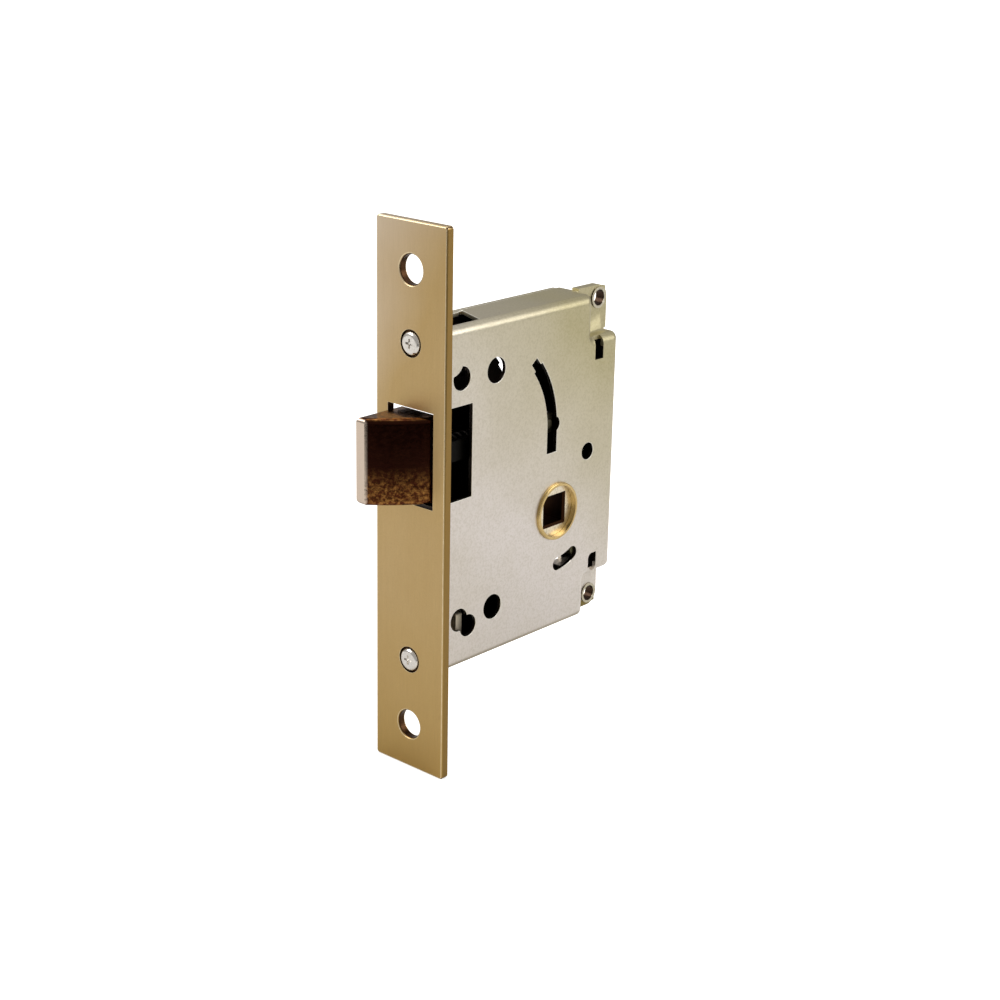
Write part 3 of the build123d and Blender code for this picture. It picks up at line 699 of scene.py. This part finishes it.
def white_floor():
    """Pale floor, lit a little from within where the camera looks at it, fading to white."""
    material = bpy.data.materials.new("white_floor")
    material.use_nodes = True
    graph = Graph(material.node_tree)
    shader = material.node_tree.nodes["Principled BSDF"]
    sight = graph.add("ShaderNodeLightPath").outputs["Is Camera Ray"]
    length = {0: graph.object_point()}
    away = graph.add("ShaderNodeVectorMath", length, operation="LENGTH").outputs["Value"]
    glow = graph.spread(away, 0.12, 0.7, 0.62, 1.0)
    graph.feed(shader.inputs["Emission Strength"], graph.math("MULTIPLY", sight, glow))
    shader.inputs["Base Color"].default_value = rgb(0.80, 0.795, 0.785)
    shader.inputs["Roughness"].default_value = 0.95
    shader.inputs["Specular IOR Level"].default_value = 0.0
    shader.inputs["Emission Color"].default_value = rgb(1.0, 1.0, 1.0)
    return material


def black_flag():
    """Matt black card that the bevel of the latch reflects."""
    material = bpy.data.materials.new("black_flag")
    material.use_nodes = True
    shader = material.node_tree.nodes["Principled BSDF"]
    shader.inputs["Base Color"].default_value = rgb(0.01, 0.008, 0.006)
    shader.inputs["Roughness"].default_value = 1.0
    shader.inputs["Specular IOR Level"].default_value = 0.0
    return material


# ---- Studio -------------------------------------------------------------------------
def set_world():
    """White to the camera, a soft grey sky to everything else."""
    world = bpy.data.worlds.new("studio")
    world.use_nodes = True
    scene.world = world
    graph = Graph(world.node_tree)
    background = world.node_tree.nodes["Background"]
    sight = graph.add("ShaderNodeLightPath").outputs["Is Camera Ray"]
    graph.feed(background.inputs["Color"], graph.blend(sight, rgb(0.42, 0.41, 0.40), rgb(1, 1, 1)))
    background.inputs["Strength"].default_value = 1.0


def set_studio():
    floor_z = cad_box[0][2]
    reach = FLOOR_SIZE / 2
    corners = [(-reach, -reach), (reach, -reach), (reach, reach), (-reach, reach)]
    flat_stage("floor", [(x, y, floor_z) for x, y in corners], white_floor())
    toward = Vector((0.823, -0.568, 0.0))
    side = Vector((-toward.y, toward.x, 0.0))
    near = toward * LATCH_FLAG_START + Vector((0, 0, floor_z + LATCH_FLAG_LIFT))
    far = near + toward * LATCH_FLAG_LENGTH
    half = side * LATCH_FLAG_WIDTH / 2
    corners = [near - half, far - half, far + half, near + half]
    flag = flat_stage("latch_flag", corners, black_flag())
    flag.visible_camera = False
    softbox("key", (-0.65, -0.60, 0.80), (0, 0.02, 0), size=0.8, power=7.0)
    softbox("right", (1.0, 0.65, 0.70), (0, 0.04, 0), size=0.9, power=8.0)
    softbox("top", (0.05, 0.25, 1.1), (0, 0.04, 0), size=0.7, power=4.0)
    scene.view_settings.view_transform = "Standard"
    set_world()


add_camera()
set_studio()

# ---- Pieces ---------------------------------------------------------------------------
def wire_tree():
    """Geometry Nodes tree that draws a round wire along a curve."""
    tree = bpy.data.node_groups.new("drawn_wire", "GeometryNodeTree")
    tree.interface.new_socket(name="Path", in_out="INPUT", socket_type="NodeSocketGeometry")
    tree.interface.new_socket(name="Wire", in_out="INPUT", socket_type=NUMBER)
    tree.interface.new_socket(name="Sides", in_out="INPUT", socket_type="NodeSocketInt")
    tree.interface.new_socket(name="Finish", in_out="INPUT", socket_type="NodeSocketMaterial")
    tree.interface.new_socket(name="Mesh", in_out="OUTPUT", socket_type="NodeSocketGeometry")
    graph = Graph(tree)
    start = graph.add("NodeGroupInput").outputs
    radius = graph.math("MULTIPLY", start["Wire"], 0.5)
    ring = graph.add("GeometryNodeCurvePrimitiveCircle", {"Resolution": start["Sides"]})
    graph.feed(ring.inputs["Radius"], radius)
    sweep = {"Curve": start["Path"], "Profile Curve": ring.outputs[0], "Fill Caps": True}
    tube = graph.add("GeometryNodeCurveToMesh", sweep).outputs[0]
    smooth = graph.add("GeometryNodeSetShadeSmooth", {0: tube}).outputs[0]
    real = graph.add("GeometryNodeRealizeInstances", {0: smooth}).outputs[0]
    painted = {"Geometry": real, "Material": start["Finish"]}
    graph.feed(
        graph.add("NodeGroupOutput").inputs[0],
        graph.add("GeometryNodeSetMaterial", painted).outputs[0],
    )
    return tree


def node_input(tree, name):
    """Identifier of a tree's named input."""
    return [
        item.identifier
        for item in tree.interface.items_tree
        if item.item_type == "SOCKET" and item.in_out == "INPUT" and item.name == name
    ][0]


def apply_tree(obj, tree, name, **values):
    """Run a Geometry Nodes tree on an object and keep the result as a plain mesh object."""
    modifier = obj.modifiers.new(name, "NODES")
    modifier.node_group = tree
    for key, value in values.items():
        modifier[node_input(tree, key)] = value
    return plain_mesh(obj, name)


def plain_mesh(obj, name):
    """Mesh object with the modifiers of another applied; the other is removed."""
    graph = bpy.context.evaluated_depsgraph_get()
    mesh = bpy.data.meshes.new_from_object(obj.evaluated_get(graph))
    mesh.name = name
    bpy.data.objects.remove(obj)
    made = bpy.data.objects.new(name, mesh)
    scene.collection.objects.link(made)
    return made


def wire_piece(name, points, wire, material):
    """Round wire along a list of points in metres."""
    data = bpy.data.curves.new(name + "_path", "CURVE")
    data.dimensions = "3D"
    spline = data.splines.new("POLY")
    spline.points.add(len(points) - 1)
    for item, point in zip(spline.points, points):
        item.co = (*point, 1.0)
    path = bpy.data.objects.new(name + "_path", data)
    scene.collection.objects.link(path)
    return apply_tree(path, WIRE_TREE, name, Wire=wire, Sides=WIRE_SIDES, Finish=material)


WIRE_TREE = wire_tree()
STEPS_PER_TURN = 40
WIRE_SIDES = 14
LATCH_SPRING_WIRE = 0.7
LATCH_SPRING_TURNS = 12
CLOSED_PITCH = 1.02
CLOSED_TURN = 0.6
OPENING_TURN = 1.2


def smooth_step(value):
    value = min(max(value, 0.0), 1.0)
    return value * value * (3 - 2 * value)


def make_latch_spring(material):
    """Compression spring with a closed turn at each end, inside its CAD node's box."""
    low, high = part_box("latch_spring")
    centre = (low + high) / 2
    wire = LATCH_SPRING_WIRE * MM
    radius = (high.x - low.x - wire) / 2
    start = low.y + wire / 2
    length = high.y - low.y - wire
    dead = wire * CLOSED_PITCH
    count = LATCH_SPRING_TURNS * STEPS_PER_TURN
    points = []
    for step in range(count + 1):
        turn = step / STEPS_PER_TURN
        left = turn - LATCH_SPRING_TURNS + CLOSED_TURN + OPENING_TURN
        live = smooth_step((turn - CLOSED_TURN) / OPENING_TURN)
        live += smooth_step(left / OPENING_TURN)
        share = min(max((turn - 1) / (LATCH_SPRING_TURNS - 2), 0.0), 1.0)
        ends = min(turn, 1.0) + min(max(turn - LATCH_SPRING_TURNS + 1, 0.0), 1.0)
        along = start + dead * ends + (length - 2 * dead) * share
        angle = 2 * pi * turn
        tuck = radius * (1 - 0.015 * (2 - live))
        points.append((centre.x + tuck * cos(angle), along, centre.z + tuck * sin(angle)))
    spring = wire_piece("latch_spring_wire", points, wire, material)
    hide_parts("latch_spring")
    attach(spring, "case")
    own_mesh(spring)


MERGE = 2e-6
SHARP = radians(28)
SMOOTH = radians(24)
FOREND_EASE = 0.10
SHEET_EASE = 0.16
EASE_REAR = 58.0
EASE_HEIGHT = 20.0


def in_rear_corner(edge):
    """True for an edge near the notches and ears, where there is no room to ease it."""
    middle = (edge.verts[0].co + edge.verts[1].co) / 2
    return middle.y > EASE_REAR * MM and abs(middle.z) > EASE_HEIGHT * MM


def eased_copy(node, body, material, width):
    """Copy of a CAD node with its sharp edges eased and marked as worn. It stands for the node."""
    shape = bmesh.new()
    shape.from_mesh(frame["nodes"][node].data)
    bmesh.ops.remove_doubles(shape, verts=shape.verts, dist=MERGE)
    worn = shape.faces.layers.float.new("worn_edge")
    edges = [
        edge
        for edge in shape.edges
        if edge.is_manifold and edge.calc_face_angle() > SHARP and not in_rear_corner(edge)
    ]
    eased = bmesh.ops.bevel(
        shape,
        geom=edges,
        offset=width,
        offset_type="OFFSET",
        segments=2,
        profile=0.5,
        affect="EDGES",
        clamp_overlap=False,
    )
    for face in eased["faces"]:
        face[worn] = 1.0
    name = node + "_eased"
    mesh = bpy.data.meshes.new(name)
    shape.to_mesh(mesh)
    shape.free()
    mesh.materials.clear()
    mesh.materials.append(material)
    mesh.polygons.foreach_set("use_smooth", [True] * len(mesh.polygons))
    mesh.set_sharp_from_angle(angle=SMOOTH)
    rough = bpy.data.objects.new(name + "_rough", mesh)
    scene.collection.objects.link(rough)
    weighted = rough.modifiers.new("weighted", "WEIGHTED_NORMAL")
    weighted.keep_sharp = True
    weighted.weight = 100
    piece = plain_mesh(rough, name)
    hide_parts(node)
    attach(piece, body)
    return piece


def finish_nodes():
    """Give every node its metal, then add the eased copies and the latch spring."""
    zinc = plated_steel(
        "case_zinc",
        rgb(0.77, 0.715, 0.670),
        rgb(0.70, 0.645, 0.56),
        rgb(0.50, 0.45, 0.35),
        # Olive colour of the painted shade towards the upper rear of the plates.
        rgb(0.70, 0.68, 0.46),
    )
    bronze = satin_bronze()
    nickel = bright_nickel()
    brass = turned_metal("turned_brass", rgb(0.70, 0.52, 0.24), rgb(0.50, 0.35, 0.13))
    # Near black inner and spring steel: painted shade on parts inside the case.
    inner = dull_steel("inner_steel", rgb(0.045, 0.036, 0.028), rgb(0.025, 0.02, 0.016), 0.45)
    spring = dull_steel("spring_steel", rgb(0.022, 0.02, 0.018), rgb(0.012, 0.01, 0.01), 0.40)
    olive = dull_steel("olive_steel", rgb(0.40, 0.38, 0.22), rgb(0.28, 0.26, 0.14), 0.35)
    pale = dull_steel("pale_steel", rgb(0.72, 0.64, 0.50), rgb(0.55, 0.48, 0.36), 0.35)
    fork = shaded_fork()
    finishes = {
        "latch_head": polished_bronze(),
        "case_screws": nickel,
        "cover_screws": nickel,
        "ear_eyelets": zinc_rivet(),
        "near_bush": brass,
        "far_bush": brass,
        "hub": hub_steel(),
        "latch_fork": fork,
        "cross_pin": fork,
        "head_rivets": inner,
        "latch_guide": inner,
        # The upper bracket takes the near black steel as painted shade; the lower bracket keeps
        # pale steel.
        "upper_bracket": inner,
        "lower_bracket": pale,
        "case_posts": inner,
        "stop_post": olive,
        "anchor_post": inner,
        "hub_spring": spring,
    }
    for node, material in finishes.items():
        mesh = frame["nodes"][node].data
        mesh.materials.clear()
        mesh.materials.append(material)
    eased_copy("forend", "case", bronze, FOREND_EASE * MM)
    eased_copy("case_body", "case", zinc, SHEET_EASE * MM)
    eased_copy("case_cover", "case", zinc, SHEET_EASE * MM)
    make_latch_spring(spring)


finish_nodes()
